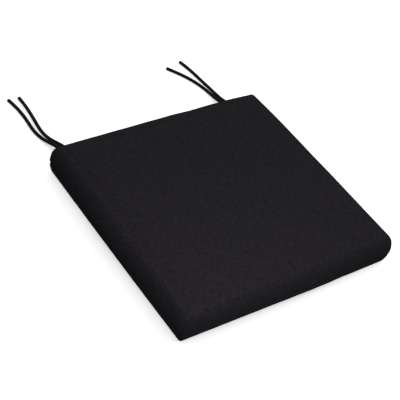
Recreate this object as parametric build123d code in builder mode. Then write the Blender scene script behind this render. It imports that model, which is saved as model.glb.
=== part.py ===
from build123d import *
import math
import os

# Chair seat pad: a firm foam slab in fibre wrap, inside a sewn cover of two
# panels that meet at a seam round the sides. A zip runs in that seam at the
# back, between two pairs of fabric ties.
# Origin: centre of the underside. +X right, +Y towards the backrest, +Z up.
# All sizes are in millimetres.

os.makedirs("parts", exist_ok=True)

# Overall sizes of the pad
pad_width = 431.8
pad_depth = 419.1
pad_height = 57.15
seam_z = 20.5
corner_r = 12.0
top_edge_r = 10.0
bottom_edge_r = 7.5
smallest_plan_r = 1.0
smallest_rim_r = 0.8
plan_r_margin = 0.5

# Layers, from the outside in
cover_t = 1.0
wrap_ease = 0.3
wrap_t = 5.0
wrap_slider_gap = 0.6

# Zip
zip_length = 280.0
zip_gap = 10.4
cut_overrun = 1.0
hem_t = 1.0
hem_width = 8.0
tape_overrun = 10.0
tape_width = 12.0
tape_t = 0.6
tape_setback = 0.8
coil_width = 2.8
coil_t = 2.0
coil_setback = 0.45
stop_length = 2.5
stop_gap = 0.5

# Slider and pull
slide_clearance = 0.3
slider_length = 12.0
slider_width = 9.0
slider_corner_r = 2.0
plate_t = 0.9
bridge_length = 4.0
bridge_t = 0.5
crown_length = 7.2
crown_width = 1.8
crown_t = 0.8
crown_foot = 0.6
pull_length = 22.0
pull_width = 5.0
pull_t = 1.2
pull_corner_r = 1.6
pull_eye_length = 4.8

# Ties
tie_d = 5.0
tie_exit_run = 12.5
smallest_bend = 3.0
bend_share = 0.45

# Places worked out from the sizes. The rims' rounding stops short of the tapes.
tape_reach = tape_setback + tape_width
bottom_r = min(bottom_edge_r, seam_z - tape_reach)
top_r = min(top_edge_r, pad_height - seam_z - tape_reach)
back_y = pad_depth / 2
hem_inner_y = back_y - cover_t - hem_t
tape_inner_y = hem_inner_y - tape_t
coil_outer_y = hem_inner_y + coil_t
outer_plate_low_y = coil_outer_y + slide_clearance
outer_plate_high_y = outer_plate_low_y + plate_t
inner_plate_high_y = tape_inner_y - slide_clearance
inner_plate_low_y = inner_plate_high_y - plate_t
pull_axis_y = outer_plate_high_y + slide_clearance + pull_t / 2
crown_low_y = pull_axis_y + pull_t / 2 + slide_clearance
crown_high_y = crown_low_y + crown_t
coil_length = zip_length - 2 * (stop_length + stop_gap)
slider_x = coil_length / 2 - slide_clearance - slider_length / 2
slider_travel = 2 * slider_x

side_inset = cover_t + wrap_ease
back_inset = back_y - inner_plate_low_y + wrap_slider_gap
wrap_low = cover_t
wrap_high = pad_height - cover_t - wrap_ease
foam_low = wrap_low + wrap_t
foam_high = wrap_high - wrap_t


def slab(side, back, low, high, low_r, high_r):
    """Slab between two heights, set in from the pad's sides and back, with rounded rims."""
    plan_r = max(corner_r - side, smallest_plan_r)
    largest_rim_r = plan_r - plan_r_margin
    with BuildPart() as block:
        with BuildSketch(Plane.XY.offset(low)):
            with Locations((0, (side - back) / 2)):
                RectangleRounded(pad_width - 2 * side, pad_depth - side - back, plan_r)
        extrude(amount=high - low)
        if low_r > 0:
            fillet(block.edges().group_by(Axis.Z)[0], radius=min(low_r, largest_rim_r))
        if high_r > 0:
            fillet(block.edges().group_by(Axis.Z)[-1], radius=min(high_r, largest_rim_r))
    return block.part


def back_bar(length, width, centre_z, outer_y, thickness, centre_x=0.0, round_r=0.0):
    """Flat bar along the back: its outer face at outer_y, its thickness inwards."""
    with BuildPart() as bar:
        with BuildSketch(Plane.XZ.offset(-outer_y)):
            with Locations((centre_x, centre_z)):
                if round_r > 0:
                    RectangleRounded(length, width, round_r)
                else:
                    Rectangle(length, width)
        extrude(amount=thickness)
    return bar.part


def finish(piece, node):
    """Name a finished piece and write it as its own file."""
    piece.label = node
    export_step(piece, f"parts/{node}.step")
    print(f"{node}: volume {piece.volume:.0f}")


# Filling: the foam slab and the two halves of its fibre wrap
foam_side = side_inset + wrap_t
foam_back = back_inset + wrap_t
foam_low_r = max(bottom_r - foam_side, smallest_rim_r)
foam_high_r = max(top_r - foam_side, smallest_rim_r)

with BuildPart() as foam_core:
    add(slab(foam_side, foam_back, foam_low, foam_high, foam_low_r, foam_high_r))
finish(foam_core.part, "foam_core")

with BuildPart() as fibre_wrap_top:
    add(slab(side_inset, back_inset, seam_z, wrap_high, 0, top_r - side_inset))
    add(slab(foam_side, foam_back, seam_z, foam_high, 0, foam_high_r), mode=Mode.SUBTRACT)
finish(fibre_wrap_top.part, "fibre_wrap_top")

with BuildPart() as fibre_wrap_bottom:
    add(slab(side_inset, back_inset, wrap_low, seam_z, bottom_r - side_inset, 0))
    add(slab(foam_side, foam_back, foam_low, seam_z, foam_low_r, 0), mode=Mode.SUBTRACT)
finish(fibre_wrap_bottom.part, "fibre_wrap_bottom")

# Cover: two open shells that meet rim to rim at the seam. Along the zip each
# one has its edge turned in, which doubles the wall there.
window_outer_y = back_y + cut_overrun / 2
window_depth = cover_t + hem_t + cut_overrun
hem_z = zip_gap / 2 + hem_width / 2
hem_length = zip_length + 2 * tape_overrun

with BuildPart() as cover_top:
    add(slab(0, 0, seam_z, pad_height, 0, top_r))
    add(slab(cover_t, cover_t, seam_z, pad_height - cover_t, 0, top_r - cover_t), mode=Mode.SUBTRACT)
    add(back_bar(hem_length, hem_width, seam_z + hem_z, back_y - cover_t / 2, hem_t + cover_t / 2))
    add(back_bar(zip_length, zip_gap, seam_z, window_outer_y, window_depth), mode=Mode.SUBTRACT)
finish(cover_top.part, "cover_top")

with BuildPart() as cover_bottom:
    add(slab(0, 0, 0, seam_z, bottom_r, 0))
    add(slab(cover_t, cover_t, cover_t, seam_z, bottom_r - cover_t, 0), mode=Mode.SUBTRACT)
    add(back_bar(hem_length, hem_width, seam_z - hem_z, back_y - cover_t / 2, hem_t + cover_t / 2))
    add(back_bar(zip_length, zip_gap, seam_z, window_outer_y, window_depth), mode=Mode.SUBTRACT)
finish(cover_bottom.part, "cover_bottom")

# Zip halves: a tape behind each turned-in edge, with a coil on its inner edge
for half, side in (("upper", 1), ("lower", -1)):
    tape_z = seam_z + side * (tape_setback + tape_width / 2)
    with BuildPart() as zip_tape:
        add(back_bar(hem_length, tape_width, tape_z, hem_inner_y, tape_t))
    finish(zip_tape.part, f"zip_tape_{half}")

    coil_z = seam_z + side * (coil_setback + coil_width / 2)
    with BuildPart() as zip_coil:
        add(back_bar(coil_length, coil_width, coil_z, coil_outer_y, coil_t))
        fillet(zip_coil.faces().sort_by(Axis.Y)[-1].edges().filter_by(Axis.X), radius=coil_t / 4)
    finish(zip_coil.part, f"zip_coil_{half}")

stop_width = 2 * (coil_setback + coil_width)
stop_x = coil_length / 2 + stop_length / 2
with BuildPart() as zip_end_stops:
    for side in (-1, 1):
        add(back_bar(stop_length, stop_width, seam_z, coil_outer_y, coil_t, side * stop_x))
finish(zip_end_stops.part, "zip_end_stops")

# Slider: an outer and an inner plate, joined by a bridge that runs between
# the coils, with an arched crown that holds the pull
bridge_x = slider_x + slider_length / 2 - bridge_length / 2
crown_base_y = outer_plate_high_y - plate_t / 2
with BuildPart() as zip_slider:
    add(back_bar(slider_length, slider_width, seam_z, outer_plate_high_y, plate_t, slider_x, slider_corner_r))
    add(back_bar(slider_length, slider_width, seam_z, inner_plate_high_y, plate_t, slider_x, slider_corner_r))
    add(back_bar(bridge_length, bridge_t, seam_z, outer_plate_low_y + plate_t / 2,
                 outer_plate_low_y - inner_plate_high_y + plate_t, bridge_x))
    with BuildSketch(Plane.XY.offset(seam_z - crown_width / 2)):
        with Locations((slider_x, (crown_base_y + crown_high_y) / 2)):
            Rectangle(crown_length, crown_high_y - crown_base_y)
        with Locations((slider_x, (outer_plate_high_y + crown_low_y) / 2)):
            Rectangle(crown_length - 2 * crown_foot, crown_low_y - outer_plate_high_y, mode=Mode.SUBTRACT)
    extrude(amount=crown_width)
finish(zip_slider.part, "zip_slider")

# Pull: a flat tab whose end bar passes under the crown, lying towards -X
eye_width = crown_width + 2 * slide_clearance
tab_outer_y = pull_axis_y + pull_t / 2
with BuildPart() as zip_pull:
    with BuildSketch(Plane.XZ.offset(-tab_outer_y)):
        with Locations((slider_x - pull_length / 2, seam_z)):
            Rectangle(pull_length, pull_width)
        with Locations((slider_x - pull_eye_length / 2, seam_z)):
            Rectangle(pull_eye_length, eye_width, mode=Mode.SUBTRACT)
    extrude(amount=pull_t)
    fillet(zip_pull.edges().filter_by(Axis.Y).group_by(Axis.X)[0], radius=pull_corner_r)
    with BuildSketch(Plane.XY.offset(seam_z - pull_width / 2)):
        with Locations((slider_x, pull_axis_y)):
            Circle(pull_t / 2)
    extrude(amount=pull_width)
finish(zip_pull.part, "zip_pull")

# Ties: four free fabric ties, each sewn into the back seam. A route starts
# square to the back, comes down to the surface under the pad and lies on it.
# After the exit's x, each point is x, distance behind the back, and height
# above where a lying tie has its centre line.
tie_routes = {
    "tie_right_outer": (180.5, [
        (182.0, 30.5, 11.5), (185.0, 48.5, 4.7), (187.6, 67.5, 0.7), (187.8, 88.5, 0.0),
        (186.0, 111.5, 0.0), (185.2, 135.5, 0.0), (181.8, 157.5, 0.0), (176.0, 178.5, 0.0),
    ]),
    "tie_right_inner": (171.5, [
        (173.0, 30.5, 11.7), (175.4, 49.0, 4.9), (176.4, 69.5, 0.7), (174.2, 91.5, 0.0),
        (169.7, 112.0, 0.0), (163.0, 130.0, 0.0), (153.0, 149.0, 0.0), (138.5, 170.0, 0.0),
    ]),
    "tie_left_inner": (-171.5, [
        (-169.8, 31.5, 11.5), (-170.6, 50.5, 4.7), (-175.4, 69.5, 0.7), (-178.8, 87.5, 0.0),
        (-178.4, 106.5, 0.0), (-176.4, 125.5, 0.0), (-174.6, 145.5, 0.0), (-173.4, 166.5, 0.0),
        (-174.4, 187.5, 0.0),
    ]),
    "tie_left_outer": (-180.5, [
        (-180.2, 32.5, 11.5), (-183.8, 51.5, 4.7), (-189.2, 71.5, 0.7), (-192.2, 90.5, 0.0),
        (-191.8, 109.5, 0.0), (-190.1, 128.5, 0.0), (-190.0, 148.5, 0.0), (-191.8, 168.5, 0.0),
        (-195.6, 188.5, 0.0),
    ]),
}


def route_points(exit_x, lay):
    """Points of a tie's route: square out of the back seam, then along its lay."""
    points = [(exit_x, back_y, seam_z), (exit_x, back_y + tie_exit_run, seam_z)]
    points += [(x, back_y + behind, tie_d / 2 + lift) for x, behind, lift in lay]
    return points


def bend_radii(points):
    """Radius of the arc at each inner point: a share of its shorter run over tan of half its turn."""
    radii = []
    for before, point, after in zip(points, points[1:], points[2:]):
        run_in = Vector(*point) - Vector(*before)
        run_out = Vector(*after) - Vector(*point)
        half_turn = math.radians(run_in.get_angle(run_out)) / 2
        radii.append(bend_share * min(run_in.length, run_out.length) / math.tan(half_turn))
    return radii


tie_section = math.pi * tie_d ** 2 / 4
for node, (exit_x, lay) in tie_routes.items():
    points = route_points(exit_x, lay)
    radii = bend_radii(points)
    with BuildPart() as tie:
        with BuildLine() as route:
            FilletPolyline(*points, radius=radii)
        with BuildSketch(Plane(points[0], x_dir=(1, 0, 0), z_dir=(0, 1, 0))):
            Circle(tie_d / 2)
        sweep(path=route.wire())
    finish(tie.part, node)
    path_length = route.wire().length
    ratio = tie.part.volume / (tie_section * path_length)
    print(f"  length {path_length:.1f}, volume ratio {ratio:.4f}, radii {[round(r) for r in radii]}")
    if min(radii) < smallest_bend * tie_d:
        print("  a bend is too tight")

print(f"slider travel {slider_travel:.1f}, pull axis at x {slider_x:.2f}, y {pull_axis_y:.2f}, z {seam_z}")
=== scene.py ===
import math

import bpy
import numpy as np
from mathutils import Matrix, Vector


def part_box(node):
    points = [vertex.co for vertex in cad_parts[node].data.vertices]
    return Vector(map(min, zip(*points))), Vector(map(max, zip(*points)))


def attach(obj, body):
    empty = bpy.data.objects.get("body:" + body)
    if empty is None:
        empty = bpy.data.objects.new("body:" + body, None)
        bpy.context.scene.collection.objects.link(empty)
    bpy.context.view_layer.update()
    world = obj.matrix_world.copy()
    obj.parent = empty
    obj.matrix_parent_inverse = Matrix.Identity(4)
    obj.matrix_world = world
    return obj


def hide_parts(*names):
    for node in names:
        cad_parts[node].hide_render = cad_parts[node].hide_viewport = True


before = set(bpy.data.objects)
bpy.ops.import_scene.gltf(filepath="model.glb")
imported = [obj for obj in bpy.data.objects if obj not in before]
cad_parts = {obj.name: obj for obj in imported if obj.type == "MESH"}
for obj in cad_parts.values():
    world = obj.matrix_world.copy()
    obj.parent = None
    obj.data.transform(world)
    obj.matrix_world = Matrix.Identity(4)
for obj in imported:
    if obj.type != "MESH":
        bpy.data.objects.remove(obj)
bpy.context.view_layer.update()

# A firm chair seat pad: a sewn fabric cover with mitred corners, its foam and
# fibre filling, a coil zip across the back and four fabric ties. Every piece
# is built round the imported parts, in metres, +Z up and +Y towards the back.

bl_info = {
    "name": "Chair Seat Pad",
    "version": (1, 0, 0),
    "blender": (4, 5, 0),
    "location": "View3D > Sidebar > Seat Pad",
    "description": "Builds a firm chair seat pad with a zipped cover and ties",
    "category": "Add Mesh",
}

MM = 0.001

# Overall sizes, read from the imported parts
TOP_LOW, TOP_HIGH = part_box("cover_top")
HALF_X = TOP_HIGH.x
HALF_Y = TOP_HIGH.y
HEIGHT = TOP_HIGH.z
SEAM_Z = TOP_LOW.z
COIL_LOW, COIL_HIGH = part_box("zip_coil_upper")
TAPE_LOW, TAPE_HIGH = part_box("zip_tape_upper")

# Ties: the exit's x, then x, distance behind the back and height above where
# a lying tie has its centre line.
TIE_EXIT_RUN = 0.0125
TIE_ROUTES = {
    "tie_right_outer": (0.1805, [
        (0.1817, 0.0306, 0.0115), (0.1842, 0.0486, 0.0047), (0.1864, 0.0676, 0.0007),
        (0.1856, 0.0884, 0.0), (0.1833, 0.1114, 0.0), (0.1818, 0.1352, 0.0),
        (0.1791, 0.1569, 0.0), (0.1749, 0.1782, 0.0),
    ]),
    "tie_right_inner": (0.1715, [
        (0.1727, 0.0305, 0.0117), (0.1754, 0.0490, 0.0049), (0.1771, 0.0695, 0.0007),
        (0.1745, 0.0916, 0.0), (0.1690, 0.1118, 0.0), (0.1618, 0.1295, 0.0),
        (0.1518, 0.1483, 0.0), (0.1378, 0.1695, 0.0),
    ]),
    "tie_left_inner": (-0.1715, [
        (-0.1703, 0.0315, 0.0115), (-0.1727, 0.0502, 0.0047), (-0.1776, 0.0690, 0.0007),
        (-0.1802, 0.0874, 0.0), (-0.1792, 0.1065, 0.0), (-0.1769, 0.1255, 0.0),
        (-0.1751, 0.1455, 0.0), (-0.1739, 0.1665, 0.0), (-0.1746, 0.1875, 0.0),
    ]),
    "tie_left_outer": (-0.1805, [
        (-0.1802, 0.0325, 0.0115), (-0.1827, 0.0518, 0.0047), (-0.1884, 0.0717, 0.0007),
        (-0.1919, 0.0905, 0.0), (-0.1917, 0.1095, 0.0), (-0.1903, 0.1285, 0.0),
        (-0.1902, 0.1485, 0.0), (-0.1920, 0.1685, 0.0), (-0.1956, 0.1885, 0.0),
    ]),
}

# Distances from a corner at which the grid lines run, before they spread evenly
CORNER_LINES = np.array([0.0, 0.8, 1.7, 2.8, 4.2, 6.0, 8.4]) * MM
GRID_STEP = 3.0 * MM

# The pad's outline: its widest height, how full the rim is, and the rear left
# corner's share of the corner radius
WIDEST_Z = 28.0 * MM
RIM_FULLNESS = 0.84
REAR_LEFT_SHARE = 0.5

# Waves of the back's rim and the front's foot (height, centre and width along x),
# and how far below the top or above the base they lie and spread
BACK_RIM_WAVES = ((-1.1 * MM, -0.140, 0.045), (2.2 * MM, 0.125, 0.055))
RIM_WAVE_DROP, RIM_WAVE_SPREAD = 8 * MM, 13 * MM
FRONT_FOOT_WAVES = ((3.0 * MM, 0.055, 0.080), (-2.0 * MM, 0.118, 0.016))
FOOT_WAVE_RISE, FOOT_WAVE_SPREAD = 9 * MM, 9 * MM

# Zip: half the length and the height of its opening, the coil's wire and pitch,
# and half the slit that the slider's bridge passes through
ZIP_HALF = 0.140
ZIP_RAMP = 5 * MM
ZIP_HALF_GAP = 5.2 * MM
COIL_WIRE = 0.62 * MM
COIL_PITCH = 1.25 * MM
SLIT_HALF = 0.30 * MM
TAPE_SLIT_HALF = 0.42 * MM

# Ties: half the seam's opening at each, and how much of one lies in the seam
TIE_HALF_GAP = 0.9 * MM
TIE_IN_SEAM = 4 * MM

# Sewing: pitch, length and width of a stitch, and the rows' distance from the opening
ZIP_STITCH = (3.0 * MM, 2.2 * MM, 0.5 * MM)
ZIP_STITCH_OFFSET = 2.2 * MM
BAR_GAP = 1.2 * MM
TIE_STITCH = (3.2 * MM, 2.3 * MM, 0.42 * MM)

# The back side's place among the cover's ten patches, and which way its half lies
BACK_PATCHES = ((3, 1), (8, -1))

CLOTH_FRAMES = 20
CLOTH_SETTINGS = {
    "quality": 4,
    "mass": 0.05,
    "tension_stiffness": 15,
    "compression_stiffness": 15,
    "shear_stiffness": 5,
    "bending_stiffness": 2.0,
    "use_pressure": True,
    "uniform_pressure_force": 4.0,
    "vertex_group_mass": "held",
}
FLOOR_HALF = 60.0


def metres(name, description, default):
    """A length in metres for the sidebar."""
    return bpy.props.FloatProperty(name=name, description=description, default=default, unit="LENGTH")


def number(name, description, default):
    """A plain number for the sidebar."""
    return bpy.props.FloatProperty(name=name, description=description, default=default)


def degrees(name, description, value):
    """An angle for the sidebar, given in degrees."""
    return bpy.props.FloatProperty(name=name, description=description, default=math.radians(value),
                                   subtype="ANGLE")


def triple(name, description, default, subtype):
    """Three numbers for the sidebar: a colour or a place."""
    return bpy.props.FloatVectorProperty(name=name, description=description, default=default, size=3,
                                         subtype=subtype)


class PadShape(bpy.types.PropertyGroup):
    """Shape of the sewn cover."""
    rim_inset: metres("Rim inset", "How far the top edge's rounding reaches inwards", 12.5 * MM)
    lean: metres("Lean", "How far the sides lean in from their widest height to the base", 4.8 * MM)
    base_radius: metres("Base radius", "Radius of the bottom edge", 2.0 * MM)
    corner_radius: metres("Corner radius", "Plan radius of the sewn corners", 7.0 * MM)
    crown: metres("Crown", "Rise of the top's middle over its edges", 6.6 * MM)
    side_bulge: metres("Side bulge", "How far the sides swell between the corners", 3.2 * MM)
    seam_depth: metres("Seam depth", "Depth of the groove along the side seam", 1.3 * MM)
    seam_width: metres("Seam width", "Half width of the groove along the side seam", 1.4 * MM)
    dart_depth: metres("Dart depth", "Depth of the groove down each corner dart", 1.0 * MM)
    dart_width: metres("Dart width", "Half width of the groove down each corner dart", 1.3 * MM)
    pucker: metres("Pucker", "Height of the small gathers beside the seams", 0.35 * MM)
    unevenness: metres("Unevenness", "Height of the slow swells over the filling", 0.7 * MM)
    back_bulge: number("Back bulge", "The back's share of the sides' swell", 0.7)
    swell_limits: triple("Swell limits", "Most that a point moves on each axis in the cloth simulation",
                         (0.9 * MM, 0.9 * MM, 1.8 * MM), "TRANSLATION")
    cloth: metres("Cloth thickness", "Thickness of the cover fabric", 0.9 * MM)


class PadColours(bpy.types.PropertyGroup):
    """Colours of the pad's materials."""
    fabric: triple("Fabric", "Mean colour of the cover's yarn", (0.0078, 0.0070, 0.0086), "COLOR")
    tie: triple("Ties", "Mean colour of the ties", (0.0060, 0.0058, 0.0062), "COLOR")
    foam: triple("Foam", "Mean colour of the foam slab", (0.80, 0.74, 0.56), "COLOR")
    fibre: triple("Fibre", "Mean colour of the fibre wrap", (0.86, 0.86, 0.83), "COLOR")
    zip_tape: triple("Zip tape", "Mean colour of the zip's woven tape", (0.0130, 0.0125, 0.0135), "COLOR")
    zip_coil: triple("Zip coil", "Colour of the zip's coil", (0.0180, 0.0180, 0.0190), "COLOR")
    lacquer: triple("Lacquer", "Colour of the slider, pull and stops", (0.0200, 0.0200, 0.0215), "COLOR")


class TieShape(bpy.types.PropertyGroup):
    """Section of the narrow fabric ties."""
    width: metres("Width", "Width of a tie", 6.3 * MM)
    thickness: metres("Thickness", "Thickness of a tie", 5.4 * MM)


class StageView(bpy.types.PropertyGroup):
    """Camera and light."""
    azimuth: degrees("Azimuth", "Camera's turn about the vertical, from the front", -44.28)
    elevation: degrees("Elevation", "Camera's height angle", 42.42)
    roll: degrees("Roll", "Camera's turn about its line of sight", 15.26)
    distance: metres("Distance", "Camera's distance from its target", 1.9478)
    target: triple("Target", "Point at the centre of the picture", (-0.0057, 0.0443, 0.0), "TRANSLATION")
    lens: number("Lens", "Focal length in millimetres on a 36 mm sensor", 101.05)
    sky: number("Sky", "Strength of the even light from above", 0.85)
    softbox: number("Softbox", "Power of the softbox over the front in watts", 5.3)
    side_light: number("Side light", "Power of the light on the right in watts", 5.0)
    floor_glow: number("Floor glow", "Light that the floor gives off by itself", 0.42)


# ---------------------------------------------------------------- surfaces

def grid_quads(rows, columns, start=0):
    """Quads of a rows by columns grid of points, each turned the same way."""
    index = np.arange(rows * columns).reshape(rows, columns) + start
    return np.stack([index[:-1, :-1], index[:-1, 1:], index[1:, 1:], index[1:, :-1]], -1).reshape(-1, 4)


def build_mesh(name, points, quads, uv=None):
    """A mesh from an n by 3 array of points and an m by 4 array of quads.

    uv is an optional corner map.
    """
    mesh = bpy.data.meshes.new(name)
    mesh.vertices.add(len(points))
    mesh.vertices.foreach_set("co", np.ascontiguousarray(points, np.float32).ravel())
    mesh.loops.add(quads.size)
    mesh.loops.foreach_set("vertex_index", quads.astype(np.int32).ravel())
    mesh.polygons.add(len(quads))
    mesh.polygons.foreach_set("loop_start", np.arange(0, quads.size, 4, dtype=np.int32))
    mesh.polygons.foreach_set("use_smooth", np.ones(len(quads), bool))
    if uv is not None:
        layer = mesh.uv_layers.new(name="Pattern")
        layer.data.foreach_set("uv", np.ascontiguousarray(uv, np.float32).ravel())
    mesh.update(calc_edges=True)
    mesh.validate()
    return mesh


def add_piece(name, patches, material, body, slot):
    """Welds patches into one mesh and puts it in the scene as a piece that rides on a body."""
    points, quads, uv, _ = weld(patches)
    return add_object(name, build_mesh(name, points, quads, uv), material, body, slot)


def add_object(name, mesh, material, body, slot):
    """Puts a mesh in the scene as a piece that rides on a body."""
    piece = bpy.data.objects.new(name, mesh)
    bpy.context.scene.collection.objects.link(piece)
    mesh.materials.append(material)
    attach(piece, body)
    return piece


def weld(patches):
    """Joins patches of points into one list without doubles, with the quads and each corner's map.

    A patch is a grid of points and a grid of map coordinates. Points closer than a
    micrometre become one. Returns points, quads, corner map and each patch's indices.
    """
    stacked = np.concatenate([points.reshape(-1, 3) for points, _ in patches])
    maps = np.concatenate([uv.reshape(-1, 2) for _, uv in patches])
    _, first, inverse = np.unique(np.round(stacked, 6), axis=0, return_index=True,
                                  return_inverse=True)
    inverse = inverse.reshape(-1)
    quads, places, start = [], [], 0
    for points, _ in patches:
        rows, columns = points.shape[:2]
        quads.append(grid_quads(rows, columns, start))
        places.append(inverse[start:start + rows * columns].reshape(rows, columns))
        start += rows * columns
    quads = np.concatenate(quads)
    return stacked[first], inverse[quads], maps[quads].reshape(-1, 2), places


def gathered(grids, places, points):
    """Grids of values put in the order of welded points."""
    values = np.empty_like(points)
    for grid, place in zip(grids, places):
        values[place] = grid
    return values


def vertex_normals(points, quads):
    """Unit normals at the points: the sum of the cross products of the diagonals of the
    quads round each."""
    corner = points[quads]
    face = np.cross(corner[:, 2] - corner[:, 0], corner[:, 3] - corner[:, 1])
    normals = np.zeros_like(points)
    for k in range(4):
        np.add.at(normals, quads[:, k], face)
    return normals / np.maximum(np.linalg.norm(normals, axis=1, keepdims=True), 1e-12)


def tube(path, section, up=(0.0, 0.0, 1.0)):
    """Carries a closed section along a path.

    The section is k points (across, up), or one such set for each point of the path.
    Across is the path's direction crossed with up, so a lying strip stays flat. The ends
    close to their middle in two rings. Returns a patch: a grid of points and a map whose
    coordinates are the distance along and the distance round.
    """
    direction = np.gradient(path, axis=0)
    direction /= np.linalg.norm(direction, axis=1, keepdims=True)
    across = np.cross(direction, np.asarray(up))
    across /= np.linalg.norm(across, axis=1, keepdims=True)
    lift = np.cross(across, direction)
    rings = path[:, None] + across[:, None] * section[..., 0:1] + lift[:, None] * section[..., 1:2]
    along = np.concatenate([[0.0], np.cumsum(np.linalg.norm(np.diff(path, axis=0), axis=1))])
    head = [path[:1, None] + (rings[:1] - path[:1, None]) * share for share in (0.0, 0.6)]
    tail = [path[-1:, None] + (rings[-1:] - path[-1:, None]) * share for share in (0.6, 0.0)]
    rings = np.concatenate([*head, rings, *tail])
    along = np.concatenate([along[:1], along[:1], along, along[-1:], along[-1:]])
    wrapped = np.concatenate([rings, rings[:, :1]], axis=1)
    middle = section if section.ndim == 2 else section[len(section) // 2]
    around = np.linalg.norm(np.diff(np.concatenate([middle, middle[:1]]), axis=0), axis=1)
    around = np.concatenate([[0.0], np.cumsum(around)])
    uv = np.stack(np.broadcast_arrays(along[:, None], around[None, :]), -1)
    return wrapped, uv


def slow_noise(x, y, wavelength, seed, waves=9):
    """Smooth noise of about -1 to 1: a sum of plane waves with seeded directions, lengths and
    phases."""
    random = np.random.default_rng(seed)
    angle = random.uniform(0, math.pi, waves)
    length = wavelength * random.uniform(0.7, 1.6, waves)
    phase = random.uniform(0, 2 * math.pi, waves)
    total = np.zeros(np.broadcast(x, y).shape)
    for a, wave, p in zip(angle, length, phase):
        total += np.sin((x * math.cos(a) + y * math.sin(a)) * 2 * math.pi / wave + p)
    return total / math.sqrt(waves) / 1.5


def bump_at(value, centre, width):
    """A bell: one at the centre, falling away over the width."""
    return np.exp(-((value - centre) / width) ** 2)


# ---------------------------------------------------------------- layers

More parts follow.
